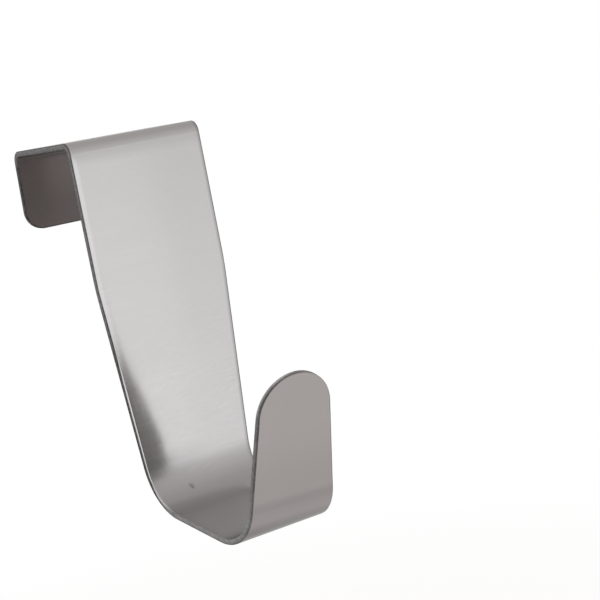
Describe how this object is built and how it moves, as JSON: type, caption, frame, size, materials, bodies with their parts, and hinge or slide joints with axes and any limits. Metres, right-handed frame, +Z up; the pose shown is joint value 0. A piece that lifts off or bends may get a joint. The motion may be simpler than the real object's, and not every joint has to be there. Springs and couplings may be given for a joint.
{
  "type": "over door hook",
  "caption": "Over door hook folded from brushed stainless strip: a saddle sits over the door's top edge, and a tapered, round-tipped hook curls up at the front.",
  "frame": {"origin": "centre of the web's underside, where the hook sits on the door's top edge", "axes": "+X across the strip, -Y away from the front of the door, +Z up"},
  "size_m": [0.045, 0.1065, 0.1205],
  "materials": {
    "brushed_stainless": "stainless steel sheet with a fine straight brushed grain across the strip, arrises lightly broken"
  },
  "bodies": {
    "root": {"hook_strip": "brushed_stainless"}
  },
  "joints": []
}
